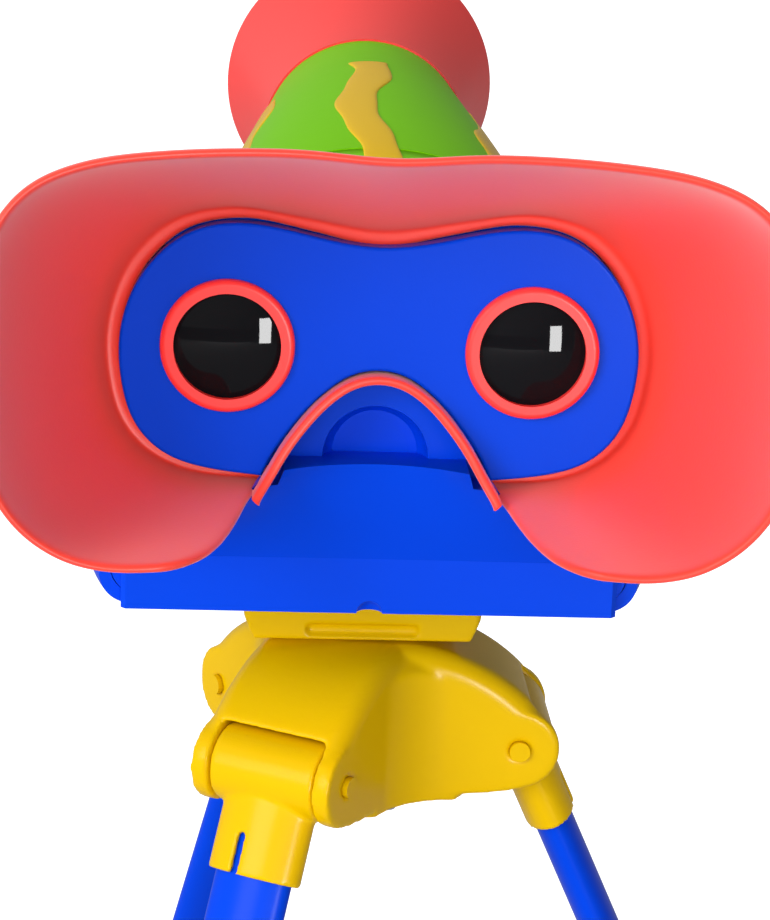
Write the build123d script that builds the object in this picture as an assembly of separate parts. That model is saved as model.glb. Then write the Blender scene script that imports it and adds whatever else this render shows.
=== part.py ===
from build123d import *
import math
import os

# Child's telescope with a goggle-shaped eye shield, on a small three-legged stand.
# +Y is the way the telescope looks, +X is to the user's right, +Z is up. Millimetres.
# The telescope is drawn about the eyepiece plate's middle and the stand about its own
# upright axis at floor level; everything is moved to the shared frame at the end.

# ---- driving dimensions -------------------------------------------------------------
EYE_SPACING = 58.0        # between the two lens centres
EYE_HEIGHT = 270.0        # lens centres above the floor
PAN_Y = 50.0              # upright axis, ahead of the eyepiece plate
TILT_Z = -44.0            # cross pin, below the lens centres
RUN_FIT = 0.05            # radial clearance of pins and shafts

PLATE_FRONT = 3.0         # y of the eyepiece plate's hidden face
PLATE_BACK = -1.2         # y of the face the user looks at
LENS_BORE = 10.2
RING_R = 12.8
COLLAR_R = 11.5
EYE_TUBE_R = 12.4

SHIELD_WALL = 2.0
SHIELD_FLOOR = 5.0        # y of the shield's hidden floor face
SHIELD_DEPTH = 50.0       # how far the shield reaches back towards the user

BODY_BACK = 8.0
BODY_BOTTOM = -56.0
BODY_SPLIT = -20.0        # parting line of the two housing halves
BODY_WALL = 2.2

SCREW_SPOTS = [(-46.0, 28.0), (46.0, 28.0), (-34.0, 62.0), (34.0, 62.0)]

BARREL_RISE = 8.0         # degrees that the barrel points upwards
JUNCTION_Y = 125.0        # where the hood starts
JUNCTION_Z = 24.0
JUNCTION_R = 24.0
BARREL_WALL = 2.0
TRIM_HEIGHT = 0.5
HOOD_LENGTH = 55.0
HOOD_RIM_R = 34.2
HOOD_WALL = 2.0
SPIGOT = 8.0

BLOCK_W = 51.0
BLOCK_D = 24.0
BLOCK_TOP = EYE_HEIGHT - 61.4
BLOCK_FLOOR = EYE_HEIGHT - 72.2
TONGUE_W = 16.0
TILT_PIN_R = 3.0
PAN_SPIGOT_R = 9.0

HEAD_TOP = EYE_HEIGHT - 72.6
HINGE_R = 34.5            # leg hinge from the upright axis
HINGE_Z = EYE_HEIGHT - 95.0
KNUCKLE_R = 8.3
KNUCKLE_L = 24.4
CHEEK = 4.0
SLOT_W = KNUCKLE_L + 0.5
ARM_W = SLOT_W + 2 * CHEEK
HINGE_PIN_R = 2.0
CROWN_R = 4.5             # rounding along the top of each arm
WEB_R = 18.0              # hollow rounding between two arms
SPLAY = 24.6              # degrees between a leg and the upright
LEG_ANGLES = (0.0, 120.0, 240.0)
LEG_NAMES = ("right", "front", "left")
SLEEVE_W = 21.2
SLEEVE_T = 11.7
SLEEVE_END = 22.5         # hinge to the sleeve's end, along the leg
LEG_W = 17.6
LEG_T = 8.8
LEG_WALL = 1.4
FOOT_R = 11.5


# ---- shared shapes ------------------------------------------------------------------
def closed_curve(points, plane):
    """Face inside a smooth closed curve through (x, z) points of a plane."""
    edge = Spline(*[plane.from_local_coords(Vector(x, z, 0)) for x, z in points], periodic=True)
    return Face(Wire([edge]))


def mirrored(right_half):
    """Points of a whole outline from its right half, top centre to bottom centre."""
    left_half = [(-x, z) for x, z in reversed(right_half) if x > 0]
    return right_half + left_half


def shrink(points, amount):
    """Move each point of a clockwise outline inwards along its own normal."""
    moved = []
    count = len(points)
    for i, (x, z) in enumerate(points):
        xa, za = points[i - 1]
        xb, zb = points[(i + 1) % count]
        length = math.hypot(xb - xa, zb - za)
        moved.append((x + amount * (zb - za) / length, z - amount * (xb - xa) / length))
    return moved


def across(y):
    """Plane facing the user at depth y: local x is X, local y is Z."""
    return Plane(origin=(0, y, 0), x_dir=(1, 0, 0), z_dir=(0, -1, 0))


def loft_y(stations):
    """Smooth solid through (y, outline) stations."""
    return loft([closed_curve(points, across(y)) for y, points in stations])


def cylinder_y(radius, y0, y1, x=0.0, z=0.0):
    return Pos(x, (y0 + y1) / 2, z) * Rot(90, 0, 0) * Cylinder(radius, y1 - y0)


def cylinder_x(radius, x0, x1, y=0.0, z=0.0):
    return Pos((x0 + x1) / 2, y, z) * Rot(0, 90, 0) * Cylinder(radius, x1 - x0)


def box(x0, x1, y0, y1, z0, z1):
    return Pos((x0 + x1) / 2, (y0 + y1) / 2, (z0 + z1) / 2) * Box(x1 - x0, y1 - y0, z1 - z0)


def prism_y(points, y0, y1):
    """Straight-sided polygon of (x, z) points, from y0 to y1."""
    face = make_face(Polyline(*[(x, y0, z) for x, z in points], close=True))
    return extrude(face, amount=y1 - y0, dir=(0, 1, 0))


def prism_x(points, x0, x1):
    """Straight-sided polygon of (y, z) points, from x0 to x1."""
    face = make_face(Polyline(*[(x0, y, z) for y, z in points], close=True))
    return extrude(face, amount=x1 - x0, dir=(1, 0, 0))


def spin(points, axis_plane):
    """Turn a polygon of (radius, height) points about a plane's normal."""
    face = make_face(Polyline(*[(r, 0, h) for r, h in points], close=True))
    return axis_plane.location * revolve(face, Axis.Z)


# ---- eyepiece plate and lenses ------------------------------------------------------
NOSE = [(0, -4.4), (5.5, -5.6), (9.5, -8.3), (12.4, -11.0), (14.9, -13.9), (17.1, -16.8), (19.0, -19.6),
        (20.7, -22.6)]
MASK = [(0, 19.4), (14.7, 21.6), (26.5, 23.4), (36.0, 21.6), (42.5, 16.8), (47.0, 10.2), (49.5, 1.0),
        (49.0, -8.0), (46.6, -15.4), (41.5, -21.0), (33.0, -24.2)]


def mask_face(y):
    """The plate's outline: brow, temples, cheeks and the arch over the nose."""
    right = MASK
    left = [(-x, z) for x, z in reversed(right)]
    tip = (22.0, -25.6)
    arch = [(x, z) for x, z in reversed(NOSE)] + [(-x, z) for x, z in NOSE[1:]]
    outer = Spline(*[(x, y, z) for x, z in [(-tip[0], tip[1])] + left[:-1] + right + [tip]])
    right_edge = Line((tip[0], y, tip[1]), (NOSE[-1][0], y, NOSE[-1][1]))
    nose = Spline(*[(x, y, z) for x, z in arch])
    left_edge = Line((-NOSE[-1][0], y, NOSE[-1][1]), (-tip[0], y, tip[1]))
    return make_face([outer, right_edge, nose, left_edge])


def eyepiece_plate():
    plate = extrude(mask_face(PLATE_BACK), amount=PLATE_FRONT - PLATE_BACK, dir=(0, 1, 0))
    plate = fillet(plate.faces().sort_by(Axis.Y)[0].edges(), 0.7)
    for side in (-1, 1):
        plate -= cylinder_y(COLLAR_R + RUN_FIT, PLATE_BACK - 5, PLATE_FRONT + 5, side * EYE_SPACING / 2)
    return plate


def eye_ring(side):
    """Bezel: a rounded flange on the plate and a collar through it."""
    x = side * EYE_SPACING / 2
    face = PLATE_BACK - 1.8
    ring = cylinder_y(RING_R, face, PLATE_BACK, x)
    ring = fillet(ring.faces().sort_by(Axis.Y)[0].edges(), 1.1)
    ring += cylinder_y(COLLAR_R, PLATE_BACK, PLATE_FRONT, x)
    ring -= cylinder_y(LENS_BORE, face - 1, PLATE_FRONT + 1, x)
    return ring


def eye_lens(side):
    """Plano-convex eyepiece lens, seated in the ring's bore."""
    radius = LENS_BORE - RUN_FIT
    bulge = 1.5
    sphere = (radius ** 2 + bulge ** 2) / (2 * bulge)
    lens = cylinder_y(radius, PLATE_BACK - 0.3 - bulge, 2.6)
    lens &= Pos(0, PLATE_BACK - 0.3 - bulge + sphere, 0) * Sphere(sphere)
    return Pos(side * EYE_SPACING / 2, 0, 0) * lens


def eye_tube(side):
    """Light-tight tube from the lens back to its fold mirror."""
    x = side * EYE_SPACING / 2
    tube = cylinder_y(EYE_TUBE_R, PLATE_FRONT, 17.5, x)
    tube -= cylinder_y(LENS_BORE, PLATE_FRONT - 1, 20, x)
    return tube


# ---- goggle shield ------------------------------------------------------------------
SEAT = [(0, 20.6), (14.9, 22.9), (26.8, 24.8), (37.0, 22.8), (43.8, 17.6), (48.4, 10.6), (51.0, 1.0),
        (50.4, -8.6), (47.8, -16.4), (42.2, -22.4), (33.4, -25.9), (20.0, -26.8), (0, -27.0)]
RIM = [(0, 41.4), (18.0, 42.3), (38.0, 41.2), (53.0, 38.8), (62.5, 33.6), (67.8, 23.6), (69.6, 9.0),
       (69.0, -5.0), (66.0, -16.6), (59.5, -25.0), (50.0, -29.2), (34.0, -29.6), (0, -29.0)]
NOTCH = [(6.0, 20.5), (1.0, 20.7), (-2.0, 23.0), (-8.0, 24.6), (-16.0, 25.8), (-24.0, 27.2), (-31.0, 28.8),
         (-37.5, 31.0), (-42.5, 34.4), (-45.4, 38.5), (-60.0, 46.0)]    # depth and half width
THROAT_SHARE = 0.52       # how much of the flare is already open at one third of the depth


def shield_stations(inset):
    """Outlines of the shield from its floor to beyond its rim."""
    seat = shrink(mirrored(SEAT), inset)
    rim = shrink(mirrored(RIM), inset)
    part = [(a + (c - a) * THROAT_SHARE, b + (d - b) * THROAT_SHARE) for (a, b), (c, d) in zip(seat, rim)]
    return [(SHIELD_FLOOR, seat), (-14.0, part), (-SHIELD_DEPTH, rim)]


def shield_form(inset):
    return loft_y(shield_stations(inset))


def nose_wall(gap):
    """Polygon of the nose opening, its edge moved inwards by gap."""
    whole = [(-x, z) for x, z in reversed(NOSE[1:])] + NOSE
    inner = [(x, z) for x, z in shrink(whole, gap)][1:-1]
    return [(-25.0 + 2 * gap, -32.0)] + inner + [(25.0 - 2 * gap, -32.0)]


def nose_opening():
    """Space for the nose: an arch over the bridge, widening towards the user below."""
    right = [(x, y) for y, x in NOTCH]
    left = [(-x, y) for x, y in reversed(right)]
    base = make_face(Polyline(*[(x, y, -60.0) for x, y in left + right], close=True))
    return extrude(base, amount=37.0, dir=(0, 0, 1)) + prism_y(nose_wall(SHIELD_WALL), -90, 20)


def goggle_shield():
    shell = shield_form(-SHIELD_WALL)
    inner = shield_form(0.0)
    floor_cut = box(-90, 90, -90, SHIELD_FLOOR - 2, -90, 90)
    shell -= inner & floor_cut
    # the rim follows a face: deeper at the temples than at the brow
    face = Pos(0, -SHIELD_DEPTH - 160, 0) * Cylinder(172, 200)
    shell -= face
    shell -= nose_opening()
    # arch band round the nose, low over the bridge and deeper down the legs
    band = prism_y(nose_wall(0.0), -30, SHIELD_FLOOR) - prism_y(nose_wall(SHIELD_WALL), -31, 20)
    reach = [(SHIELD_FLOOR, 0), (-3.6, 0), (-4.2, -6), (-8.0, -22.0), (-9.0, -26.5), (SHIELD_FLOOR, -26.5)]
    band &= prism_x(reach, -40, 40)
    shell += band
    for side in (-1, 1):
        shell -= cylinder_y(EYE_TUBE_R + 1.5, PLATE_FRONT - 2, 20, side * EYE_SPACING / 2)
    return shell


# ---- housing ------------------------------------------------------------------------
def rounded_section(y, half_w, top, bottom, top_r, bottom_r):
    """Housing cross-section with softer upper corners."""
    corners = [(-half_w, bottom), (half_w, bottom), (half_w, top), (-half_w, top)]
    outline = Polyline(*[(x, y, z) for x, z in corners], close=True)
    face = make_face(outline)
    low = face.vertices().sort_by(Axis.Z)[:2]
    face = fillet(low, bottom_r)
    high = face.vertices().group_by(Axis.Z)[-1]
    return fillet(high, top_r)


def housing_form(inset):
    """Rounded housing, widest a little ahead of the eyepieces."""
    stations = [
        (SHIELD_FLOOR + 0.2, 50.8, 27.0, BODY_BOTTOM, 17.0, 4.5),
        (27.0, 57.6, 31.0, BODY_BOTTOM, 20.0, 8.5),
        (52.0, 54.0, 27.0, BODY_BOTTOM, 19.0, 9.5),
        (78.0, 42.0, 12.0, -52.0, 15.0, 10.0),
        (98.0, 27.0, -6.0, -42.0, 10.0, 9.0),
    ]
    faces = []
    for y, half_w, top, bottom, top_r, bottom_r in stations:
        faces.append(rounded_section(y, half_w - inset, top - inset, bottom + inset,
                                     top_r - inset, bottom_r - inset / 2))
    return loft(faces)


def barrel_plane(along):
    """Plane across the barrel's axis, this far behind (-) or ahead (+) of the junction."""
    tilt = math.radians(BARREL_RISE)
    ahead = Vector(0, math.cos(tilt), math.sin(tilt))
    origin = Vector(0, JUNCTION_Y, JUNCTION_Z) + ahead * along
    return Plane(origin=origin, x_dir=(1, 0, 0), z_dir=ahead)


def barrel_form(inset, grow_ends=0.0):
    """Green barrel: round at the hood, a wide oval inside the housing."""
    stations = [(grow_ends, 24.0, 24.0), (-32.0, 28.6, 24.2), (-64.0, 33.0, 23.4), (-96.0 - grow_ends, 36.0, 21.0)]
    faces = []
    for along, half_w, half_h in stations:
        faces.append(barrel_plane(along) * Ellipse(half_w - inset, half_h - inset))
    return loft(faces)


def barrel_tube():
    tube = barrel_form(0.0) - barrel_form(BARREL_WALL, 3.0)
    seat = spin([(21.2, -3), (22.3, -3), (22.3, SPIGOT), (21.2, SPIGOT)], barrel_plane(0))
    lip = spin([(21.2, -3.0), (23.4, -3.0), (23.9, 0), (21.2, 0)], barrel_plane(0))
    tube = tube + lip + seat
    # the rear end leans so that the housing reaches further forward underneath
    tube -= prism_x([(-10, -60), (36, -60), (36, 60), (-10, 60)], -80, 80)
    return tube


WAVE_HALF = 4.3           # half the width of a wavy strip
WAVE_LINE = [(-22.0, 1.6), (-30.0, 0.2), (-38.0, -2.4), (-46.0, -3.4), (-54.0, -1.2), (-62.0, 1.6), (-70.0, 3.2),
             (-78.0, 2.0), (-86.0, -0.4), (-94.0, -1.6)]    # distance behind the junction and sideways swing
WAVE_ANGLES = (-3.5, 68.0, 140.0, 215.0, 293.0)


def wave_outline():
    """Wavy strip in its own flat plane: local y runs along the barrel."""
    left = [(swing - WAVE_HALF, along) for along, swing in WAVE_LINE]
    right = [(swing + WAVE_HALF, along) for along, swing in WAVE_LINE]
    sides = [Spline(*left), Spline(*right)]
    ends = [Line(left[0], right[0]), Line(left[-1], right[-1])]
    return make_face(sides + ends)


def wave_trim():
    """Raised wavy strips, spread round the barrel."""
    skin = barrel_form(-TRIM_HEIGHT) - barrel_form(-0.04, 1.0)
    skin -= box(-90, 90, -20, 40, -90, 90)
    skin -= housing_form(-0.2)
    strips = []
    axis = barrel_plane(0)
    for angle in WAVE_ANGLES:
        turn = math.radians(angle)
        outward = axis.x_dir * math.sin(turn) - axis.y_dir * math.cos(turn)
        sideways = axis.x_dir * math.cos(turn) + axis.y_dir * math.sin(turn)
        flat = Plane(origin=axis.origin, x_dir=sideways, z_dir=outward)
        piece = skin & (flat.location * extrude(wave_outline(), amount=60, dir=(0, 0, 1)))
        strips.extend(piece.solids())
    return Compound(children=[s for s in strips if s.volume > 20])


def hood():
    """Bell-shaped lens hood, pushed over the barrel's spigot."""
    outer = []
    inner = []
    steps = 10
    for i in range(steps + 1):
        share = i / steps
        radius = JUNCTION_R + 0.5 + (HOOD_RIM_R - JUNCTION_R - 0.5) * share ** 1.7
        outer.append((radius, HOOD_LENGTH * share))
    for i in range(steps + 1):
        share = i / steps
        radius = 22.4 + (HOOD_RIM_R - HOOD_WALL - 22.4) * share ** 1.7
        inner.append((radius, HOOD_LENGTH * share))
    out_curve = Spline(*[(r, 0, h) for r, h in outer])
    in_curve = Spline(*[(r, 0, h) for r, h in inner])
    rim = ThreePointArc(outer[-1] and (outer[-1][0], 0, outer[-1][1]),
                        ((outer[-1][0] + inner[-1][0]) / 2, 0, HOOD_LENGTH + 1.0),
                        (inner[-1][0], 0, inner[-1][1]))
    foot = Line((inner[0][0], 0, 0), (outer[0][0], 0, 0))
    face = make_face([out_curve, rim, in_curve, foot])
    return barrel_plane(0).location * revolve(face, Axis.Z)


def objective_lens():
    sphere = 70.0
    lens = Cylinder(20.0, 8.0) & Pos(0, 0, 3.0 - sphere) * Sphere(sphere) & Pos(0, 0, sphere - 3.0) * Sphere(sphere)
    return barrel_plane(3.0).location * lens


def objective_ring():
    """Retaining ring that clamps the objective in the spigot."""
    ring = Cylinder(21.1, 9.0) - Cylinder(20.05, 10.0)
    ring += Pos(0, 0, 4.5) * (Cylinder(21.1, 1.2) - Cylinder(18.6, 1.3))
    return barrel_plane(3.0).location * ring


def tube_baffle():
    """Thin black stop half-way down the barrel."""
    disc = Ellipse(25.6, 21.4) - Circle(14.0)
    return barrel_plane(-34.0).location * extrude(disc, amount=1.0)


def body_shells():
    """Upper and lower halves of the housing, with the barrel's opening."""
    outer = housing_form(0.0)
    hollow = housing_form(BODY_WALL) & box(-90, 90, SHIELD_FLOOR + 2.2, 95.5, -90, 90)
    hole = barrel_form(-0.15, 4.0) & box(-90, 90, 36.0, 140, -90, 90)
    shell = outer - hollow - hole
    shell -= box(-44, 44, 0, SHIELD_FLOOR + 3, BODY_SPLIT - 2, 18)
    upper = shell & box(-90, 90, -5, 120, BODY_SPLIT, 60)
    lower = shell & box(-90, 90, BODY_BACK + 3.2, 120, -90, BODY_SPLIT)
    lower -= box(-TONGUE_W / 2 - 0.3, TONGUE_W / 2 + 0.3, PAN_Y - 14, PAN_Y + 14, -70, -45)
    # bearing posts for the cross pin, standing on the floor inside
    floor = BODY_BOTTOM + BODY_WALL - 0.5
    for side in (-1, 1):
        near = side * (TONGUE_W / 2 + 1.3)
        far = side * (TONGUE_W / 2 + 9.0)
        x0, x1 = min(near, far), max(near, far)
        post = box(x0, x1, PAN_Y - 7, PAN_Y + 7, floor, TILT_Z) + cylinder_x(7.0, x0, x1, PAN_Y, TILT_Z)
        lower += post - cylinder_x(TILT_PIN_R, x0 - 1, x1 + 1, PAN_Y, TILT_Z)
    for x, y in SCREW_SPOTS:
        lower += Pos(x, y, (floor + BODY_SPLIT) / 2) * Cylinder(4.0, BODY_SPLIT - floor) - \
            Pos(x, y, 0) * Cylinder(1.6, 200)
        lower -= Pos(x, y, BODY_BOTTOM) * Cylinder(3.1, 6.0)
    return upper, lower


def body_screws():
    """Self-tapping screws that pull the two halves together from below."""
    screws = []
    for x, y in SCREW_SPOTS:
        head = Pos(x, y, BODY_BOTTOM + 2.0) * Cylinder(2.9, 2.0)
        head -= Pos(x, y, BODY_BOTTOM + 1.0) * (Box(3.4, 0.7, 1.6) + Box(0.7, 3.4, 1.6))
        shank = Pos(x, y, BODY_BOTTOM + 3.0 + 14.0) * Cylinder(1.5, 28.0)
        screws.append(head + shank)
    return Compound(children=screws)


def rear_panel():
    """Lower rear cover: nose niche, ledge, chin slope and a plain lower band."""
    front = BODY_BACK + 3.0
    half = 49.6
    panel = box(-half, half, BODY_BACK, front, BODY_BOTTOM, BODY_SPLIT)
    panel = chamfer(panel.edges().filter_by(Axis.Z).group_by(Axis.Y)[0], 1.0)
    back_wall = box(-19.5, 19.5, SHIELD_FLOOR + 0.3, front, -26.0, -13.0)
    back_wall += box(-16.0, 16.0, SHIELD_FLOOR + 0.3, front, -14.0, -2.6)
    top = make_face([
        Line((-20, 9, -23), (-20, -8, -23)), ThreePointArc((-20, -8, -23), (0, 0, -23), (20, -8, -23)),
        Line((20, -8, -23), (20, 9, -23)), Line((20, 9, -23), (-20, 9, -23))])
    low = make_face([
        Line((-41, 9, -44.6), (-41, 7.6, -44.6)), ThreePointArc((-41, 7.6, -44.6), (0, 8.0, -44.6), (41, 7.6, -44.6)),
        Line((41, 7.6, -44.6), (41, 9, -44.6)), Line((41, 9, -44.6), (-41, 9, -44.6))])
    chin = loft([top, low], ruled=True)
    # tongue that fills the housing's open back all round
    tongue = housing_form(BODY_WALL + 0.15)
    tongue &= box(-90, 90, front - 0.6, front + 2.4, BODY_BOTTOM + BODY_WALL + 0.15, BODY_SPLIT - 0.3)
    cover = panel + back_wall + chin + tongue
    # niche for the tip of the nose, over the ledge
    niche = Pos(0, SHIELD_FLOOR - 1.5, -23.0) * Sphere(10.5)
    niche &= box(-30, 30, -20, front - 1.2, -23.0, 0)
    cover -= niche
    cover -= Pos(0, BODY_BACK, BODY_BOTTOM) * Sphere(2.6)
    cover -= shield_form(-SHIELD_WALL - 0.25) - nose_opening()
    # clearance round the legs of the shield's nose arch
    arch = prism_y(nose_wall(-0.3), -12, SHIELD_FLOOR + 0.3)
    arch -= prism_y(nose_wall(SHIELD_WALL + 0.3), -13, 10)
    cover -= arch & box(-40, 40, -20, 20, -26.8, 30)
    return cover


# ---- optics inside the housing ------------------------------------------------------
MIRROR_Y = 24.0


def prism_holder():
    """Cradle that carries the splitter and the two fold mirrors in line."""
    floor = -15.0
    holder = box(-43, 43, MIRROR_Y - 7.5, MIRROR_Y + 9, floor - 2, floor)
    for x in (-10.2, 8.6):
        holder += box(x, x + 1.6, MIRROR_Y - 7.5, MIRROR_Y + 9, floor, -5.0)
    return holder


def beam_splitter():
    """Square block whose diagonal sends half the light to each side."""
    return box(-8.4, 8.4, MIRROR_Y - 7.5, MIRROR_Y + 9, -14.9, 9.0)


def fold_mirror(side):
    """Slanted mirror that turns the light towards one eye."""
    plate = Rot(0, 0, side * 45) * Box(20.0, 1.6, 22.0)
    return Pos(side * EYE_SPACING / 2, MIRROR_Y + 2.2, -3.9) * plate


# ---- tilt and pan mount -------------------------------------------------------------
def mount_block():
    """Block that turns on the head; its tongue holds the telescope's cross pin."""
    half_w = BLOCK_W / 2
    slope = 5.0
    outline = [(-half_w, BLOCK_TOP), (half_w, BLOCK_TOP), (half_w, BLOCK_FLOOR + slope),
               (half_w - 2.2, BLOCK_FLOOR), (-half_w + 2.2, BLOCK_FLOOR), (-half_w, BLOCK_FLOOR + slope)]
    block = prism_y(outline, -BLOCK_D / 2, BLOCK_D / 2)
    block = fillet(block.edges().filter_by(Axis.Z), 1.5)
    block -= box(-12.0, 12.0, -BLOCK_D / 2 - 1, -BLOCK_D / 2 + 1.2, BLOCK_FLOOR + 1.0, BLOCK_FLOOR + 3.6)
    tilt_z = EYE_HEIGHT + TILT_Z
    half_t = TONGUE_W / 2
    block += box(-half_t, half_t, -9, 9, BLOCK_TOP - 1, tilt_z) + cylinder_x(9.0, -half_t, half_t, 0, tilt_z)
    block -= cylinder_x(TILT_PIN_R + RUN_FIT, -half_t - 1, half_t + 1, 0, tilt_z)
    spigot_end = HEAD_TOP - 8.0
    block += Pos(0, 0, (BLOCK_FLOOR + spigot_end) / 2) * Cylinder(PAN_SPIGOT_R, BLOCK_FLOOR - spigot_end)
    block -= Pos(0, 0, spigot_end) * Cylinder(1.6, 24.0)
    return block


def tilt_pin():
    return cylinder_x(TILT_PIN_R, -TONGUE_W / 2 - 9.0, TONGUE_W / 2 + 9.0, PAN_Y, TILT_Z)


def tilt_washers():
    """Two friction washers between the tongue and the posts."""
    rings = []
    for side in (-1, 1):
        near = side * (TONGUE_W / 2 + 0.1)
        far = side * (TONGUE_W / 2 + 1.25)
        x0, x1 = min(near, far), max(near, far)
        rings.append(cylinder_x(6.5, x0, x1, PAN_Y, TILT_Z) - cylinder_x(TILT_PIN_R + 0.02, x0 - 1, x1 + 1, PAN_Y, TILT_Z))
    return Compound(children=rings)


def pan_washer():
    top = HEAD_TOP - 8.0
    washer = Pos(0, 0, top - 0.6) * (Cylinder(12.0, 1.2) - Cylinder(1.8, 2.0))
    return washer


def pan_screw():
    """Pan head screw that holds the block down on the head."""
    under = HEAD_TOP - 8.0 - 1.2
    shank = Pos(0, 0, under + 5.5) * Cylinder(1.6, 11.0)
    head = Pos(0, 0, under - 1.3) * Cylinder(3.4, 2.6)
    head -= Pos(0, 0, under - 2.4) * (Box(4.2, 0.9, 1.6) + Box(0.9, 4.2, 1.6))
    return head + shank


# ---- tripod head --------------------------------------------------------------------
def arm_profile():
    """Side view of one arm: sloping roof, rounded hinge end, deep cheeks."""
    z = HINGE_Z
    root = 6.0
    start = (HINGE_R + 5.4, z + 6.9)
    roof = [(root, HEAD_TOP - 0.05), (17.0, HEAD_TOP - 1.0), (26.0, HEAD_TOP - 4.4), (34.0, HEAD_TOP - 9.6), start]
    top = Spline(*roof)
    end = ThreePointArc(start, (HINGE_R + 8.76, z - 0.2), (HINGE_R + 3.0, z - 8.25))
    belly = [(HINGE_R + 3.0, z - 8.25), (HINGE_R - 4.0, z - 9.8), (17.0, z - 11.2), (11.0, z - 12.8), (root, z - 14.9)]
    low = Spline(*belly)
    back = Line(belly[-1], roof[0])
    return make_face([top, end, low, back])


def hub():
    """Middle of the head: curved walls that run from each arm into the next."""
    width = ARM_W - 0.2
    plan = Rectangle(60, width, align=(Align.MIN, Align.CENTER))
    for angle in LEG_ANGLES[1:]:
        plan += Rot(0, 0, angle) * Rectangle(60, width, align=(Align.MIN, Align.CENTER))
    corners = [v for v in plan.vertices() if v.center().length < 25]
    plan = fillet(corners, WEB_R)
    low = HINGE_Z - 12.0
    wall = Pos(0, 0, low) * extrude(plan, amount=HEAD_TOP - low)
    points = [(0, HEAD_TOP - 0.6), (16.0, HEAD_TOP - 1.2), (21.0, HEAD_TOP - 4.0), (26.5, HEAD_TOP - 10.5)]
    roof = Spline(*points)
    side = Polyline(points[-1], (points[-1][0], low), (0, low), points[0])
    upright = Plane(origin=(0, 0, 0), x_dir=(1, 0, 0), z_dir=(0, -1, 0))
    dome = revolve(upright.location * make_face([roof, side]), Axis.Z)
    return wall & dome


def tripod_head():
    """Three arms about a hub; each has a slot for a leg's knuckle."""
    profile = arm_profile()
    lying = Plane(origin=(0, ARM_W / 2, 0), x_dir=(1, 0, 0), z_dir=(0, -1, 0))
    single = extrude(lying.location * profile, amount=ARM_W)
    crown = [e for e in single.edges() if e.length > 25 and e.center().Z > HINGE_Z]
    single = fillet([e for e in crown if abs(e.center().Y) > ARM_W / 2 - 0.1], CROWN_R)
    head = hub()
    for angle in LEG_ANGLES:
        head += Rot(0, 0, angle) * single
    # room for the legs: open below and outside, roofed over the knuckle
    slot_half = SLOT_W / 2
    slot = box(HINGE_R - 10.5, 60, -slot_half, slot_half, HINGE_Z - 30, HINGE_Z + 9.4)
    slot += box(HINGE_R + 2.6, 60, -slot_half, slot_half, HINGE_Z - 30, HINGE_Z + 40)
    hinge_hole = Pos(HINGE_R, 0, HINGE_Z) * Rot(90, 0, 0) * Cylinder(HINGE_PIN_R, ARM_W + 4)
    for angle in LEG_ANGLES:
        head -= Rot(0, 0, angle) * (slot + hinge_hole)
    # hollow underside with a plate over it
    head -= Pos(0, 0, HEAD_TOP - 8.0 - 20.0) * Cylinder(16.0, 40.0)
    head -= Pos(0, 0, HEAD_TOP - 4.0) * Cylinder(PAN_SPIGOT_R + RUN_FIT, 20.0)
    return head


def head_base_cover():
    """Plate that closes the hub from below."""
    z = HINGE_Z - 13.0
    plate = Pos(0, 0, z) * Cylinder(15.8, 2.0)
    for angle in (60, 180, 300):
        spot = Rot(0, 0, angle) * Pos(12.0, 0, z)
        plate -= spot * Cylinder(1.5, 6.0)
    return plate


def head_screws():
    screws = []
    for angle in (60, 180, 300):
        spot = Rot(0, 0, angle) * Pos(12.0, 0, HINGE_Z - 14.0 - 0.9)
        head = spot * Cylinder(2.6, 1.8)
        head -= spot * Pos(0, 0, -0.9) * (Box(3.2, 0.7, 1.2) + Box(0.7, 3.2, 1.2))
        screws.append(head + Rot(0, 0, angle) * Pos(12.0, 0, HINGE_Z - 14.0 + 3.0) * Cylinder(1.45, 6.0))
    return Compound(children=screws)


# ---- legs ---------------------------------------------------------------------------
def in_leg(shape, angle):
    """Put a shape drawn hanging below its hinge (local -Z) on one leg of the stand."""
    return Rot(0, 0, angle) * Pos(HINGE_R, 0, HINGE_Z) * Rot(0, -SPLAY, 0) * shape


def leg_length():
    return HINGE_Z / math.cos(math.radians(SPLAY))


def leg_socket():
    """Knuckle on the hinge pin and an oval sleeve round the leg, with a snap slot."""
    knuckle = Rot(90, 0, 0) * Cylinder(KNUCKLE_R, KNUCKLE_L)
    knuckle = fillet(knuckle.edges(), 0.6)
    sleeve = extrude(Ellipse(SLEEVE_T / 2, SLEEVE_W / 2), amount=-SLEEVE_END)
    root = extrude(Ellipse(SLEEVE_T / 2, SLEEVE_W / 2), amount=-8.6)
    bore = Pos(0, 0, -8.6) * extrude(Ellipse(LEG_T / 2 + 0.02, LEG_W / 2 + 0.02), amount=-30)
    slot = box(0, 12, -0.8, 0.8, -SLEEVE_END - 1, -SLEEVE_END + 8.0) + \
        Pos(6, 0, -SLEEVE_END + 8.0) * Rot(0, 90, 0) * Cylinder(0.8, 12)
    sleeve -= bore + Pos(0, -2.2, 0) * slot
    socket = knuckle + root + sleeve
    socket -= Rot(90, 0, 0) * Cylinder(HINGE_PIN_R + RUN_FIT, KNUCKLE_L + 4)
    return socket


def leg_tube():
    """Hollow oval leg from inside the sleeve to inside the foot."""
    top = -9.0
    bottom = -(leg_length() - 8.0)
    tube = extrude(Ellipse(LEG_T / 2, LEG_W / 2), amount=bottom - top)
    tube -= Pos(0, 0, -3) * extrude(Ellipse(LEG_T / 2 - LEG_WALL, LEG_W / 2 - LEG_WALL), amount=bottom - top)
    return Pos(0, 0, top) * tube


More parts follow.
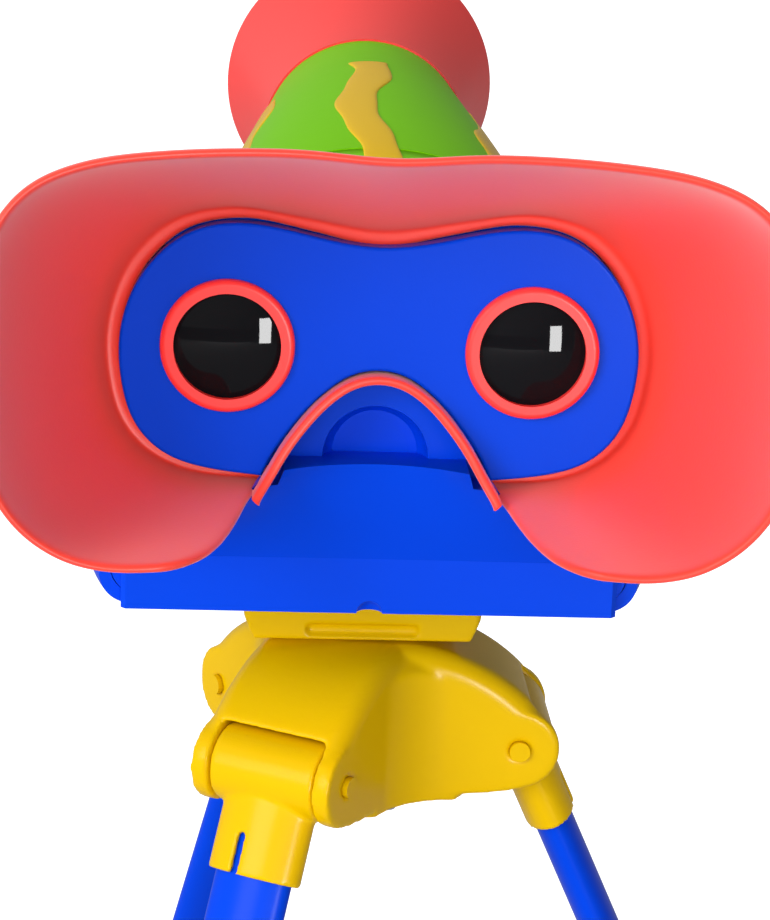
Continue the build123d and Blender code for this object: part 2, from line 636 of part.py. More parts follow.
def leg_foot():
    """Rubber cap pushed on the leg, cut flat where it meets the floor."""
    reach = leg_length()
    lower = Pos(0, 0, -reach) * Sphere(FOOT_R)
    cap = Pos(0, 0, -reach + 6.5) * extrude(Ellipse(LEG_T / 2 + 3.0, LEG_W / 2 + 1.6), amount=12)
    foot = lower + cap
    foot -= Pos(0, 0, -reach + 8.0) * extrude(Ellipse(LEG_T / 2 + 0.02, LEG_W / 2 + 0.02), amount=30)
    return foot


def hinge_pin():
    """Headed pin through both cheeks and the knuckle."""
    length = ARM_W
    pin = Rot(90, 0, 0) * Cylinder(HINGE_PIN_R, length)
    for side in (-1, 1):
        cap = Pos(0, side * (length / 2 + 0.5), 0) * Rot(90, 0, 0) * Cylinder(2.0 + 0.2, 1.0)
        pin += cap
    return pin


# ---- assembly -----------------------------------------------------------------------
def build():
    parts = {}
    scope = {}
    scope["eyepiece_plate"] = eyepiece_plate()
    scope["goggle_shield"] = goggle_shield()
    for side, word in ((-1, "left"), (1, "right")):
        scope[f"eye_ring_{word}"] = eye_ring(side)
        scope[f"eye_lens_{word}"] = eye_lens(side)
        scope[f"eye_tube_{word}"] = eye_tube(side)
        scope[f"fold_mirror_{word}"] = fold_mirror(side)
    scope["rear_panel"] = rear_panel()
    scope["body_upper_shell"], scope["body_lower_shell"] = body_shells()
    scope["body_screws"] = body_screws()
    scope["barrel_tube"] = barrel_tube()
    scope["wave_trim"] = wave_trim()
    scope["hood"] = hood()
    scope["objective_lens"] = objective_lens()
    scope["objective_ring"] = objective_ring()
    scope["tube_baffle"] = tube_baffle()
    scope["prism_holder"] = prism_holder()
    scope["beam_splitter"] = beam_splitter()
    scope["tilt_pin"] = tilt_pin()
    scope["tilt_washers"] = tilt_washers()
    for name, shape in scope.items():
        parts[name] = Pos(0, -PAN_Y, EYE_HEIGHT) * shape
    parts["mount_block"] = mount_block()
    parts["pan_washer"] = pan_washer()
    parts["pan_screw"] = pan_screw()
    parts["tripod_head"] = tripod_head()
    parts["head_base_cover"] = head_base_cover()
    parts["head_screws"] = head_screws()
    floor = box(-400, 400, -400, 400, -100, 0)
    for angle, word in zip(LEG_ANGLES, LEG_NAMES):
        parts[f"leg_socket_{word}"] = in_leg(leg_socket(), angle)
        parts[f"leg_tube_{word}"] = in_leg(leg_tube(), angle)
        parts[f"leg_foot_{word}"] = in_leg(leg_foot(), angle) - floor
        parts[f"leg_hinge_pin_{word}"] = Rot(0, 0, angle) * Pos(HINGE_R, 0, HINGE_Z) * hinge_pin()
    return parts


def shared_shift(parts):
    """Move that puts the whole object's footprint centre on the origin."""
    low = [1e9, 1e9]
    high = [-1e9, -1e9]
    for shape in parts.values():
        size = shape.bounding_box()
        low = [min(low[0], size.min.X), min(low[1], size.min.Y)]
        high = [max(high[0], size.max.X), max(high[1], size.max.Y)]
    return Pos(-(low[0] + high[0]) / 2, -(low[1] + high[1]) / 2, 0)


def main():
    os.makedirs("parts", exist_ok=True)
    parts = build()
    shift = shared_shift(parts)
    for name, shape in parts.items():
        export_step(shift * shape, f"parts/{name}.step")
    print("upright axis at", tuple(round(v, 3) for v in shift.position))


main()
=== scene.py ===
import math

import bmesh
import bpy
from mathutils import Matrix, Vector
from mathutils.bvhtree import BVHTree


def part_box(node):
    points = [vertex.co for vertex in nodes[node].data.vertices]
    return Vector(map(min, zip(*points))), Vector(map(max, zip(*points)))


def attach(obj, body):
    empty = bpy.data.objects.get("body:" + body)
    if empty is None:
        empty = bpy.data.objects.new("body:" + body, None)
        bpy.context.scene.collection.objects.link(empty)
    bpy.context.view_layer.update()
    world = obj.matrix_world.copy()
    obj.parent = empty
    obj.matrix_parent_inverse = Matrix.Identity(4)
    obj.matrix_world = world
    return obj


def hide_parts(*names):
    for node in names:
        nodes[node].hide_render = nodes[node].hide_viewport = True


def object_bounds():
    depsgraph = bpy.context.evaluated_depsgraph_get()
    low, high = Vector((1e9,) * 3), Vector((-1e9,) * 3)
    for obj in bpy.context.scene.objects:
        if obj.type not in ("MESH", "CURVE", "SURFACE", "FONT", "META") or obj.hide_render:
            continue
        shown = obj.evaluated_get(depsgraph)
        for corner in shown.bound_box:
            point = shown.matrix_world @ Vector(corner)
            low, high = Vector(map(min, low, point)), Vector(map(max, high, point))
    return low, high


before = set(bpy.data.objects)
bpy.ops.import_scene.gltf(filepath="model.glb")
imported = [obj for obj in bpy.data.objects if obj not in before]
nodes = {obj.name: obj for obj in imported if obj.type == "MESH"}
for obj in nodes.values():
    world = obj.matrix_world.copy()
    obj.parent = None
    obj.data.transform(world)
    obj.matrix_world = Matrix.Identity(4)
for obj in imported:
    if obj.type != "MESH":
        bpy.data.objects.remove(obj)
cad_low, cad_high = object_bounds()
MM = 0.001

# ---- tripod head --------------------------------------------------------------------
# The yellow crown that the legs hinge in: three arms about a hub, moulded in glossy
# hard plastic with soft corners. Its pins and the cover underneath are moulded in the same plastic.
def new_group(name, inputs, outputs):
    """An empty shader node group with its sockets; returns the group and its two ends."""
    group = bpy.data.node_groups.new(name, "ShaderNodeTree")
    for label, kind, value in inputs:
        socket = group.interface.new_socket(label, in_out="INPUT", socket_type=kind)
        socket.default_value = value
    for label, kind in outputs:
        group.interface.new_socket(label, in_out="OUTPUT", socket_type=kind)
    return group, group.nodes.new("NodeGroupInput"), group.nodes.new("NodeGroupOutput")


def moulded_skin_group():
    """Fine mould texture with slow, faint mottling: colour, roughness and height."""
    group, start, end = new_group(
        "moulded_skin",
        [("Colour", "NodeSocketColor", (0.8, 0.8, 0.8, 1.0)), ("Roughness", "NodeSocketFloat", 0.35),
         ("Mottle", "NodeSocketFloat", 0.05), ("Grain size", "NodeSocketFloat", 2500.0)],
        [("Colour", "NodeSocketColor"), ("Roughness", "NodeSocketFloat"), ("Height", "NodeSocketFloat")])
    nds, lks = group.nodes, group.links
    place = nds.new("ShaderNodeTexCoord")
    grain = nds.new("ShaderNodeTexNoise")
    grain.inputs["Detail"].default_value = 2.0
    lks.new(place.outputs["Object"], grain.inputs["Vector"])
    lks.new(start.outputs["Grain size"], grain.inputs["Scale"])
    cloud = nds.new("ShaderNodeTexNoise")
    cloud.inputs["Scale"].default_value = 38.0
    cloud.inputs["Detail"].default_value = 4.0
    lks.new(place.outputs["Object"], cloud.inputs["Vector"])
    # value shift around 1: half a mottle darker to half a mottle lighter
    spread = nds.new("ShaderNodeMath")
    spread.operation = "SUBTRACT"
    spread.inputs[1].default_value = 0.5
    lks.new(cloud.outputs["Fac"], spread.inputs[0])
    scaled = nds.new("ShaderNodeMath")
    scaled.operation = "MULTIPLY_ADD"
    scaled.inputs[2].default_value = 1.0
    lks.new(spread.outputs[0], scaled.inputs[0])
    lks.new(start.outputs["Mottle"], scaled.inputs[1])
    tint = nds.new("ShaderNodeHueSaturation")
    lks.new(start.outputs["Colour"], tint.inputs["Color"])
    lks.new(scaled.outputs[0], tint.inputs["Value"])
    lks.new(tint.outputs["Color"], end.inputs["Colour"])
    rough = nds.new("ShaderNodeMath")
    rough.operation = "MULTIPLY"
    lks.new(start.outputs["Roughness"], rough.inputs[0])
    lks.new(scaled.outputs[0], rough.inputs[1])
    lks.new(rough.outputs[0], end.inputs["Roughness"])
    lks.new(grain.outputs["Fac"], end.inputs["Height"])
    return group


moulded_skin = moulded_skin_group()


def plastic(name, colour, roughness, mottle=0.06, grain=2500.0, bump=0.00002, specular=0.4,
            sheen=0.0):
    """A moulded plastic or rubber: the skin group feeds one Principled shader."""
    material = bpy.data.materials.new(name)
    material.use_nodes = True
    tree = material.node_tree
    shader = tree.nodes["Principled BSDF"]
    skin = tree.nodes.new("ShaderNodeGroup")
    skin.node_tree = moulded_skin
    skin.inputs["Colour"].default_value = (*colour, 1.0)
    skin.inputs["Roughness"].default_value = roughness
    skin.inputs["Mottle"].default_value = mottle
    skin.inputs["Grain size"].default_value = grain
    tree.links.new(skin.outputs["Colour"], shader.inputs["Base Color"])
    tree.links.new(skin.outputs["Roughness"], shader.inputs["Roughness"])
    relief = tree.nodes.new("ShaderNodeBump")
    relief.inputs["Strength"].default_value = 0.6
    relief.inputs["Distance"].default_value = bump
    tree.links.new(skin.outputs["Height"], relief.inputs["Height"])
    tree.links.new(relief.outputs["Normal"], shader.inputs["Normal"])
    shader.inputs["Specular IOR Level"].default_value = specular
    shader.inputs["Sheen Weight"].default_value = sheen
    shader.inputs["Sheen Roughness"].default_value = 0.5
    return material


def paint(material, *names):
    """Give CAD nodes a finish by their own material slots."""
    for name in names:
        for slot in nodes[name].material_slots:
            slot.material = material


def soften(name, voxel, rounds, strength=0.5):
    """Round a moulding's edges a little, as its mould does."""
    node = nodes[name]
    skin = node.modifiers.new("moulded", "REMESH")
    skin.mode = "VOXEL"
    skin.voxel_size = voxel
    skin.use_smooth_shade = True
    ease = node.modifiers.new("eased", "SMOOTH")
    ease.factor = strength
    ease.iterations = rounds


yellow_plastic = plastic("yellow_plastic", (0.76, 0.47, 0.0), 0.24, specular=0.10)
paint(yellow_plastic, "tripod_head", "head_base_cover", "leg_hinge_pin_right",
      "leg_hinge_pin_front", "leg_hinge_pin_left")
soften("tripod_head", voxel=0.0006, rounds=10)

# ---- legs ---------------------------------------------------------------------------
# Each leg is a yellow socket on a hinge pin, a flat-sided blue plastic strut pushed into
# it, and a soft red foot. The three are alike.
LEGS = ("right", "front", "left")
blue_plastic = plastic("blue_plastic", (0.0, 0.054, 0.70), 0.28, specular=0.06)
foot_rubber = plastic("foot_rubber", (0.72, 0.05, 0.045), 0.55, grain=1800.0, bump=0.00004)
for leg in LEGS:
    paint(yellow_plastic, "leg_socket_" + leg)
    paint(blue_plastic, "leg_tube_" + leg)
    paint(foot_rubber, "leg_foot_" + leg)
    soften("leg_socket_" + leg, voxel=0.0005, rounds=6)

# ---- mount block --------------------------------------------------------------------
# Yellow block that turns on the head and carries the telescope's cross pin. A steel
# screw holds it down over a plastic washer.
paint(yellow_plastic, "mount_block")
soften("mount_block", voxel=0.0005, rounds=8)
steel = bpy.data.materials.new("zinc_plated_steel")
steel.use_nodes = True
steel_shader = steel.node_tree.nodes["Principled BSDF"]
steel_shader.inputs["Base Color"].default_value = (0.55, 0.56, 0.58, 1.0)
steel_shader.inputs["Metallic"].default_value = 1.0
steel_grain = steel.node_tree.nodes.new("ShaderNodeTexNoise")
steel_grain.inputs["Scale"].default_value = 900.0
steel_range = steel.node_tree.nodes.new("ShaderNodeMapRange")
steel_range.inputs["To Min"].default_value = 0.22
steel_range.inputs["To Max"].default_value = 0.42
steel.node_tree.links.new(steel_grain.outputs["Fac"], steel_range.inputs["Value"])
steel.node_tree.links.new(steel_range.outputs["Result"], steel_shader.inputs["Roughness"])
paint(steel, "pan_screw", "tilt_pin", "head_screws", "body_screws", "pan_washer")
washer_plastic = plastic("washer_plastic", (0.72, 0.71, 0.68), 0.45)
paint(washer_plastic, "tilt_washers")

# ---- housing ------------------------------------------------------------------------
# Two glossy blue shells screwed together, with a rear panel that has the nose niche,
# a sloping chin and a plain band along its lower edge.
paint(blue_plastic, "body_lower_shell", "body_upper_shell", "rear_panel")
# the telescope is laid out about the point midway between its two eyepieces
left_low, left_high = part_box("eye_ring_left")
right_low, right_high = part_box("eye_ring_right")
plate_low, plate_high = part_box("eyepiece_plate")
PLATE_TO_EYES = 1.2 * MM
eye_mid = Vector(((left_low.x + right_high.x) / 2, plate_low.y + PLATE_TO_EYES,
                  (left_low.z + left_high.z) / 2))

# ---- optics -------------------------------------------------------------------------
# A black cradle in the housing holds a splitter block and two slanted mirrors that share
# the picture between the eyes; black tubes keep stray light out.
black_plastic = plastic("black_plastic", (0.006, 0.006, 0.007), 0.5, specular=0.2)
paint(black_plastic, "eye_tube_left", "eye_tube_right", "objective_ring", "tube_baffle",
      "prism_holder")
# the lenses and the splitter are coloured near-black: painted shade standing in for the dark inside of the
# housing seen through clear glass; their glints come from the lamps
lens_glass = plastic("lens_glass", (0.004, 0.0045, 0.006), 0.03, mottle=0.0, bump=0.0,
                     specular=0.12)
paint(lens_glass, "eye_lens_left", "eye_lens_right", "objective_lens", "beam_splitter")
mirror_glass = plastic("mirror_glass", (0.5, 0.5, 0.52), 0.08, mottle=0.0, bump=0.0)
mirror_glass.node_tree.nodes["Principled BSDF"].inputs["Metallic"].default_value = 1.0
paint(mirror_glass, "fold_mirror_left", "fold_mirror_right")

# ---- barrel and trim ----------------------------------------------------------------
# A green plastic tube that slopes up from the housing. Raised yellow wave strips run
# along its skin, and its top carries on over the housing as a saddle.
green_plastic = plastic("green_plastic", (0.18, 0.56, 0.003), 0.34, specular=0.03)
paint(green_plastic, "barrel_tube")

STRIP_HALF, STRIP_PROUD = 4.9, 0.42
STRIP_LINE = [(-22.0, 0.9), (-30.0, 2.0), (-57.0, -3.0), (-95.0, 2.8)]
STRIP_DEGREES = (-3.5, 68.0, 140.0, 215.0, 293.0)
BARREL_SLOPE = math.radians(8.0)
BARREL_RADIUS = 27.0
barrel_ahead = Vector((0.0, math.cos(BARREL_SLOPE), math.sin(BARREL_SLOPE)))
barrel_up = Vector((0.0, -barrel_ahead.z, barrel_ahead.y))


def skin_of(*things):
    """Search tree over the surfaces of these objects."""
    shape = bmesh.new()
    for thing in things:
        shape.from_mesh(thing.data)
    tree = BVHTree.FromBMesh(shape)
    shape.free()
    return tree


# saddle: the barrel's top carries on over the housing, to just behind the goggles
barrel_front = eye_mid + Vector((0, 125, 24)) * MM
saddle_points, saddle_faces = [], []
SADDLE_STEPS, SADDLE_SIDES = 6, 28
SADDLE_FRONT, SADDLE_LENGTH = -87.0, 19.0
SADDLE_ARC = 104.0
SADDLE_OUTSIDE, SADDLE_INSIDE = 0.02, -1.6
for level in (SADDLE_OUTSIDE, SADDLE_INSIDE):
    for i in range(SADDLE_STEPS + 1):
        along = SADDLE_FRONT - SADDLE_LENGTH * i / SADDLE_STEPS
        # the tube widens and flattens towards the housing
        half_w = 36.0 + 3.0 * (-96.0 - along) / 32.0 + level
        half_h = 21.0 - 2.4 * (-96.0 - along) / 32.0 + level
        for j in range(SADDLE_SIDES + 1):
            turn = math.radians(-SADDLE_ARC / 2 + SADDLE_ARC * j / SADDLE_SIDES)
            spot = barrel_front + barrel_ahead * along * MM
            spot = spot + Vector((half_w * math.sin(turn) * MM, 0, 0))
            spot = spot + barrel_up * half_h * math.cos(turn) * MM
            saddle_points.append(spot)
sheet = (SADDLE_STEPS + 1) * (SADDLE_SIDES + 1)
for i in range(SADDLE_STEPS):
    for j in range(SADDLE_SIDES):
        corner = i * (SADDLE_SIDES + 1) + j
        face = (corner, corner + 1, corner + SADDLE_SIDES + 2, corner + SADDLE_SIDES + 1)
        saddle_faces.append(face)
        saddle_faces.append(tuple(sheet + k for k in reversed(face)))
edge_loop = list(range(SADDLE_SIDES + 1))
edge_loop += [i * (SADDLE_SIDES + 1) + SADDLE_SIDES for i in range(1, SADDLE_STEPS + 1)]
edge_loop += [SADDLE_STEPS * (SADDLE_SIDES + 1) + j for j in reversed(range(SADDLE_SIDES))]
edge_loop += [i * (SADDLE_SIDES + 1) for i in reversed(range(1, SADDLE_STEPS))]
for k, near in enumerate(edge_loop):
    far = edge_loop[(k + 1) % len(edge_loop)]
    saddle_faces.append((far, near, near + sheet, far + sheet))
saddle_mesh = bpy.data.meshes.new("barrel_saddle")
saddle_mesh.from_pydata(saddle_points, [], saddle_faces)
for face in saddle_mesh.polygons:
    face.use_smooth = True
saddle = bpy.data.objects.new("barrel_saddle", saddle_mesh)
bpy.context.scene.collection.objects.link(saddle)
saddle.data.materials.append(green_plastic)
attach(saddle, "telescope")


STRIP_SECTION = [(-1.0, -0.5), (-0.99, 0.25), (-0.9, 0.9), (-0.5, 1.0), (0.0, 1.0), (0.5, 1.0),
                 (0.9, 0.9), (0.99, 0.25), (1.0, -0.5)]


def rounded_strip(tree, origin, angle):
    """One wave strip laid on the barrel: rows of points across it, with turned-down edges."""
    rows = []
    steps = 9
    line = []
    for (a0, w0), (a1, w1) in zip(STRIP_LINE, STRIP_LINE[1:]):
        for k in range(steps):
            ease = 0.5 - 0.5 * math.cos(math.pi * k / steps)
            line.append((a0 + (a1 - a0) * k / steps, w0 + (w1 - w0) * ease))
    line.append(STRIP_LINE[-1])
    for index, (along, swing) in enumerate(line):
        half = STRIP_HALF * (1.0 + 0.10 * math.cos(along * 0.33))
        row = []
        end_drop = 0.35 if index in (0, len(line) - 1) else 1.0
        for across, lift in STRIP_SECTION:
            turn = angle + (swing + across * half) / BARREL_RADIUS
            out = Vector((math.sin(turn), 0, 0)) + barrel_up * math.cos(turn)
            start = origin + barrel_ahead * along * MM + out * 60 * MM
            hit = tree.ray_cast(start, -out, 0.06)
            if hit[0] is None:
                row = None
                break
            level = lift * end_drop if lift > 0 else lift
            row.append(hit[0] + out * STRIP_PROUD * level * MM)
        if row:
            rows.append(row)
    return rows


barrel_skin = skin_of(nodes["barrel_tube"], saddle)
strip_points, strip_faces = [], []
for degrees in STRIP_DEGREES:
    rows = rounded_strip(barrel_skin, barrel_front, math.radians(degrees))
    first = len(strip_points)
    for row in rows:
        strip_points.extend(row)
    across = len(rows[0])
    for i in range(len(rows) - 1):
        for j in range(across - 1):
            corner = first + i * across + j
            strip_faces.append((corner, corner + 1, corner + across + 1, corner + across))
    strip_faces.append(tuple(first + j for j in reversed(range(across))))
    strip_faces.append(tuple(first + (len(rows) - 1) * across + j for j in range(across)))
strip_mesh = bpy.data.meshes.new("wave_strips")
strip_mesh.from_pydata(strip_points, [], strip_faces)
for face in strip_mesh.polygons:
    face.use_smooth = True
strips = bpy.data.objects.new("wave_strips", strip_mesh)
bpy.context.scene.collection.objects.link(strips)
strips.data.materials.append(yellow_plastic)
strip_soft = strips.modifiers.new("rounded", "SUBSURF")
strip_soft.levels = strip_soft.render_levels = 1
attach(strips, "telescope")
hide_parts("wave_trim")

# ---- hood ---------------------------------------------------------------------------
# The red bell in front of the objective lens, one hard plastic moulding that is round
# about the barrel's axis. It keeps stray light off the lens.
red_plastic = plastic("red_plastic", (0.97, 0.05, 0.045), 0.38, specular=0.30)
paint(red_plastic, "hood")

# ---- eyepieces ----------------------------------------------------------------------
# A blue mask-shaped plate closes the housing inside the goggles. It carries two red
# plastic bezels with a lens in each.
paint(blue_plastic, "eyepiece_plate")
paint(red_plastic, "eye_ring_left", "eye_ring_right")

# ---- goggle shield ------------------------------------------------------------------
# Soft red goggles moulded in one piece: a flare that opens towards the face, a notch for
# the nose between two round lobes, and a raised arch over the bridge.
SEAT = [(0, 20.6), (14.9, 22.9), (26.8, 24.8), (37.0, 22.8), (43.8, 17.6), (48.4, 10.6), (51.0, 1.0),
        (50.4, -8.6), (47.8, -16.4), (42.2, -22.4), (33.4, -25.9), (20.0, -26.8), (0, -27.0)]
RIM = [(0, 41.4), (18.0, 42.3), (38.0, 41.2), (53.0, 38.8), (62.5, 33.6), (67.8, 23.6), (69.6, 9.0),
       (69.0, -5.0), (66.0, -16.6), (59.5, -25.2), (50.0, -29.6), (34.0, -30.0), (0, -29.4)]
NOTCH = [(5.0, 20.7), (1.0, 22.4), (-2.0, 23.2), (-8.0, 24.6), (-16.0, 25.8), (-24.0, 27.2), (-31.0, 28.8),
         (-37.5, 31.0), (-42.5, 34.4), (-45.4, 38.5), (-60.0, 46.0)]
ARCH = [(0, -4.4), (5.5, -5.6), (9.5, -8.3), (12.4, -11.0), (14.9, -13.9), (17.1, -16.8), (19.0, -19.6),
        (20.7, -22.6)]
SHIELD_WALL = 1.7
# the seat outline lies behind the plate's face, and the flare opens fastest there; the
# wall itself is drawn from FLARE_START out to the rim
SEAT_DEPTH, FLARE_DEPTH, FLARE_CURVE = 5.0, 55.0, 0.772
FLARE_START = 3.0
CURVE_POINTS = 24.0


def along_curve(points, t):
    """Point at parameter t (counted in points) of a closed smooth curve."""
    i = math.floor(t)
    f = t - i
    n = len(points)
    p0, p1, p2, p3 = (Vector(points[(i + k) % n]) for k in (-1, 0, 1, 2))
    return 0.5 * (2 * p1 + (p2 - p0) * f + (2 * p0 - 5 * p1 + 4 * p2 - p3) * f ** 2
                  + (3 * p1 - p0 - 3 * p2 + p3) * f ** 3)


def between(table, value):
    """Second column of a table, read at a value of its falling first column."""
    for (a, fa), (b, fb) in zip(table, table[1:]):
        if value >= b:
            return fa + (fb - fa) * (value - a) / (b - a)
    return table[-1][1]


def mirrored(half):
    """A half outline from top to bottom, closed by its mirror image."""
    return half + [(-x, z) for x, z in reversed(half[1:-1])]


def flare(t, y):
    """Inner surface of the shield at curve parameter t and depth y, in millimetres."""
    depth = (SEAT_DEPTH - y) / FLARE_DEPTH
    open_share = (1.0 + FLARE_CURVE) * depth - FLARE_CURVE * depth ** 2
    seat = along_curve(mirrored(SEAT), t)
    rim = along_curve(mirrored(RIM), t)
    x, z = seat.lerp(rim, open_share)
    return Vector((x, y, z))


def notch_parameter(y):
    """Where the notch's edge crosses the flare at depth y, on the right."""
    width = between(NOTCH, y)
    low, high = 8.0, 12.0
    for _ in range(30):
        mid = (low + high) / 2
        if flare(mid, y).x > width:
            low = mid
        else:
            high = mid
    return low


# the rim is an arc seen from above, and stands further out at the cheeks
RIM_CENTRE, RIM_RADIUS = -210.0, 172.0
CHEEK_CENTRE, CHEEK_WIDTH, CHEEK_DEPTH = 40.0, 14.0, 3.0


def rim_depth(x, z):
    """Depth of the rim: it follows a face, deeper at the temples and the cheeks."""
    cheek = min(1.0, max(0.0, (6.0 - z) / 24.0))
    swell = math.exp(-((abs(x) - CHEEK_CENTRE) / CHEEK_WIDTH) ** 2)
    return RIM_CENTRE + math.sqrt(RIM_RADIUS ** 2 - x * x) - CHEEK_DEPTH * cheek * swell


def flare_point(share, q):
    """Point on the flare: share runs from the right notch edge over the brow to the left."""
    y_end = -45.0  # first guess of the rim's depth, corrected by each round
    for _ in range(6):
        start = notch_parameter(y_end)
        t = start - share * 2 * start
        end = flare(t % CURVE_POINTS, y_end)
        y_end = rim_depth(end.x, end.z)
    y = FLARE_START + q * (y_end - FLARE_START)
    start = notch_parameter(y)
    return flare((start - share * 2 * start) % CURVE_POINTS, y)


def mesh_object(name, points, faces):
    mesh = bpy.data.meshes.new(name)
    mesh.from_pydata([eye_mid + Vector(p) * MM for p in points], [], faces)
    for face in mesh.polygons:
        face.use_smooth = True
    thing = bpy.data.objects.new(name, mesh)
    bpy.context.scene.collection.objects.link(thing)
    return thing


COLUMNS, ROWS = 120, 16
LIP_REACH, LIP_BEND = 3.2, 0.5
points, faces = [], []
for column in range(COLUMNS + 1):
    # columns crowd a little towards the two notch edges
    share = column / COLUMNS
    share = share - 0.06 * math.sin(2 * math.pi * share)
    seat_point = flare_point(share, 0.0)
    inwards = Vector((-seat_point.x, 0.0, -2.0 - seat_point.z)).normalized()
    points.append(seat_point + LIP_REACH * inwards)
    points.append(seat_point + LIP_BEND * inwards)
    for row in range(ROWS + 1):
        q = row / ROWS if row else 0.008
        points.append(flare_point(share, q))
RUNG = ROWS + 3
for column in range(COLUMNS):
    for row in range(RUNG - 1):
        a = column * RUNG + row
        faces.append((a, a + 1, a + RUNG + 1, a + RUNG))
goggles = mesh_object("goggles", points, faces)
wall = goggles.modifiers.new("wall", "SOLIDIFY")
wall.thickness = SHIELD_WALL * MM
wall.offset = -1.0
wall.use_even_offset = True
smooth = goggles.modifiers.new("rounded", "SUBSURF")
smooth.levels = smooth.render_levels = 2

soft_red = plastic("soft_red", (0.97, 0.045, 0.022), 0.45, grain=1600.0, bump=0.00003,
                   specular=0.4, sheen=0.38)
goggles.data.materials.append(soft_red)
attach(goggles, "telescope")
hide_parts("goggle_shield")

# raised arch over the bridge of the nose, a rounded bead seen from the face side
ARCH_TAIL = [(22.2, -25.4, -9.6, 0.75), (23.2, -26.6, -10.6, 0.9), (23.9, -27.4, -11.4, 1.2)]
bridge = []
for x, z in ARCH:
    drop = -4.4 - z
    bridge.append((x, z, -3.6 - 0.22 * drop - 0.012 * max(0.0, drop - 12.0) ** 2, 1.0))
bridge += ARCH_TAIL
path = [(-x, z, front, inset) for x, z, front, inset in reversed(bridge[1:])] + bridge
bead_points, bead_faces = [], []
SECTION = [(-1.0, 8.0), (-1.0, 0.9), (-0.72, 0.25), (0.0, 0.0), (0.72, 0.25), (1.0, 0.9), (1.0, 8.0)]
for i, (x, z, front, inset) in enumerate(path):
    xa, za = path[max(i - 1, 0)][:2]
    xb, zb = path[min(i + 1, len(path) - 1)][:2]
    run = Vector((xb - xa, zb - za)).normalized()
    inward = Vector((run.y, -run.x))
    for across, back in SECTION:
        side = Vector((x, z)) + inward * (inset + across)
        bead_points.append((side.x, min(5.0, front + back), side.y))
for i in range(len(path) - 1):
    for j in range(len(SECTION)):
        a, b = i * len(SECTION) + j, i * len(SECTION) + (j + 1) % len(SECTION)
        bead_faces.append((a, b, b + len(SECTION), a + len(SECTION)))
bead_faces.append(tuple(range(len(SECTION))))
bead_faces.append(tuple(reversed(range((len(path) - 1) * len(SECTION), len(path) * len(SECTION)))))
nose_arch = mesh_object("nose_arch", bead_points, bead_faces)
round_bead = nose_arch.modifiers.new("rounded", "SUBSURF")
round_bead.levels = round_bead.render_levels = 2
nose_arch.data.materials.append(soft_red)
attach(nose_arch, "telescope")

# ---- studio -------------------------------------------------------------------------
# A wide white floor and a room brightest on the left. A large soft box lights from the
# upper left, one fills from the front, and a narrow one on the right glints in the lenses.
floor_mesh = bpy.data.meshes.new("studio_floor")
reach = 30.0  # far enough that no edge of the floor is in view
floor_corners = [(-reach, -reach, 0), (reach, -reach, 0), (reach, reach, 0), (-reach, reach, 0)]
floor_mesh.from_pydata(floor_corners, [], [(0, 1, 2, 3)])
floor = bpy.data.objects.new("studio_floor", floor_mesh)
floor.location.z = cad_low.z - 0.0002
bpy.context.scene.collection.objects.link(floor)
floor_paint = bpy.data.materials.new("floor_paint")
floor_paint.use_nodes = True
floor_shader = floor_paint.node_tree.nodes["Principled BSDF"]
floor_shader.inputs["Base Color"].default_value = (0.55, 0.55, 0.55, 1.0)
floor_shader.inputs["Roughness"].default_value = 0.9
floor_shader.inputs["Specular IOR Level"].default_value = 0.0
floor_shader.inputs["Emission Color"].default_value = (1.0, 1.0, 1.0, 1.0)
seen_directly = floor_paint.node_tree.nodes.new("ShaderNodeLightPath")
floor_paint.node_tree.links.new(seen_directly.outputs["Is Camera Ray"],
                                floor_shader.inputs["Emission Strength"])
floor.data.materials.append(floor_paint)

# the room is bright on the left and overhead, and dim low on the right
world = bpy.data.worlds.new("studio")
bpy.context.scene.world = world
world.use_nodes = True
sky = world.node_tree
sky_place = sky.nodes.new("ShaderNodeTexCoord")
room = sky.nodes.new("ShaderNodeVectorMath")
room.operation = "DOT_PRODUCT"
room.inputs[1].default_value = (-0.80, -0.20, 0.56)
sky.links.new(sky_place.outputs["Generated"], room.inputs[0])
glow = sky.nodes.new("ShaderNodeMapRange")
glow.interpolation_type = "SMOOTHSTEP"
glow.inputs["From Min"].default_value = -0.55
glow.inputs["From Max"].default_value = 0.95
glow.inputs["To Min"].default_value = 0.22
glow.inputs["To Max"].default_value = 0.80
sky.links.new(room.outputs["Value"], glow.inputs["Value"])
lit_room = sky.nodes["Background"]
sky.links.new(glow.outputs["Result"], lit_room.inputs["Strength"])
backdrop = sky.nodes.new("ShaderNodeBackground")
backdrop.inputs["Color"].default_value = (1.0, 1.0, 1.0, 1.0)
lit_room.inputs["Color"].default_value = (1.0, 1.0, 1.0, 1.0)
sky_path = sky.nodes.new("ShaderNodeLightPath")
sky_mix = sky.nodes.new("ShaderNodeMixShader")
sky.links.new(sky_path.outputs["Is Camera Ray"], sky_mix.inputs[0])
sky.links.new(lit_room.outputs[0], sky_mix.inputs[1])
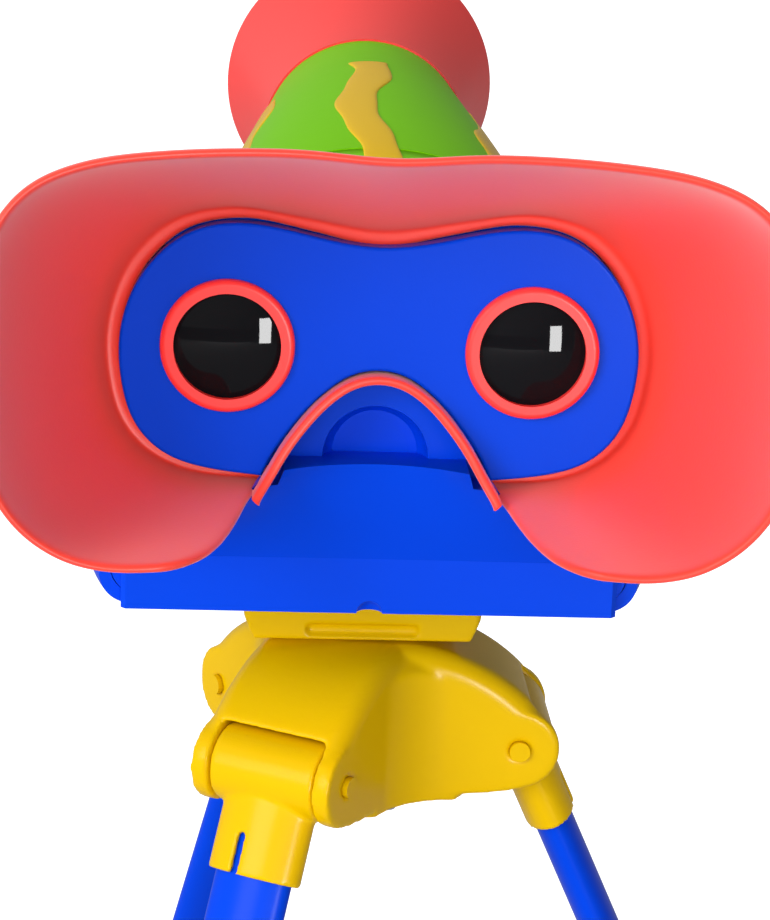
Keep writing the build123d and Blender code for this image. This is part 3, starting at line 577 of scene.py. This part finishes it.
sky.links.new(backdrop.outputs[0], sky_mix.inputs[2])
sky.links.new(sky_mix.outputs[0], sky.nodes["World Output"].inputs["Surface"])


def soft_box(name, place, aim, width, height, watts):
    """A rectangular soft light that faces a point of the model."""
    light = bpy.data.lights.new(name, "AREA")
    light.shape = "RECTANGLE"
    light.size, light.size_y = width, height
    light.energy = watts
    lamp = bpy.data.objects.new(name, light)
    lamp.location = place
    lamp.rotation_mode = "QUATERNION"
    lamp.rotation_quaternion = (Vector(aim) - Vector(place)).to_track_quat("-Z", "Y")
    bpy.context.scene.collection.objects.link(lamp)
    return lamp


soft_box("key_box", eye_mid + Vector((-1.2, -1.15, 0.55)), eye_mid, 0.9, 0.9, 19.0)
front_box = soft_box("front_box", eye_mid + Vector((-0.1, -1.7, 0.15)), eye_mid, 1.0, 0.8, 13.0)
front_box.visible_glossy = False
glint_box = soft_box("glint_box", eye_mid + Vector((0.45, -1.12, -0.03)), eye_mid, 0.16, 0.34, 12.0)
glint_box.visible_diffuse = False

# the camera is close in front of the goggles and above them, and looks slightly down
PITCH, TURN, ROLL = math.radians(14.7084488), math.radians(-2.709), math.radians(2.01130419)
CAMERA_FROM_EYES = Vector((-19.12, -440.09, 93.5603)) * MM
camera_data = bpy.data.cameras.new("camera")
camera_data.lens = 92.32
camera_data.sensor_width = 36.0
camera = bpy.data.objects.new("camera", camera_data)
away = Vector((math.sin(TURN) * math.cos(PITCH), -math.cos(TURN) * math.cos(PITCH), math.sin(PITCH)))
right = (-away).cross(Vector((0, 0, 1))).normalized()
upward = right.cross(-away)
level_right = right * math.cos(ROLL) + upward * math.sin(ROLL)
level_up = upward * math.cos(ROLL) - right * math.sin(ROLL)
turned = Matrix((level_right, level_up, away)).transposed().to_4x4()
camera.matrix_world = Matrix.Translation(eye_mid + CAMERA_FROM_EYES) @ turned
camera_data.clip_start = 0.02
camera_data.clip_end = 100.0
bpy.context.scene.collection.objects.link(camera)
bpy.context.scene.camera = camera
bpy.context.scene.view_settings.view_transform = "Standard"
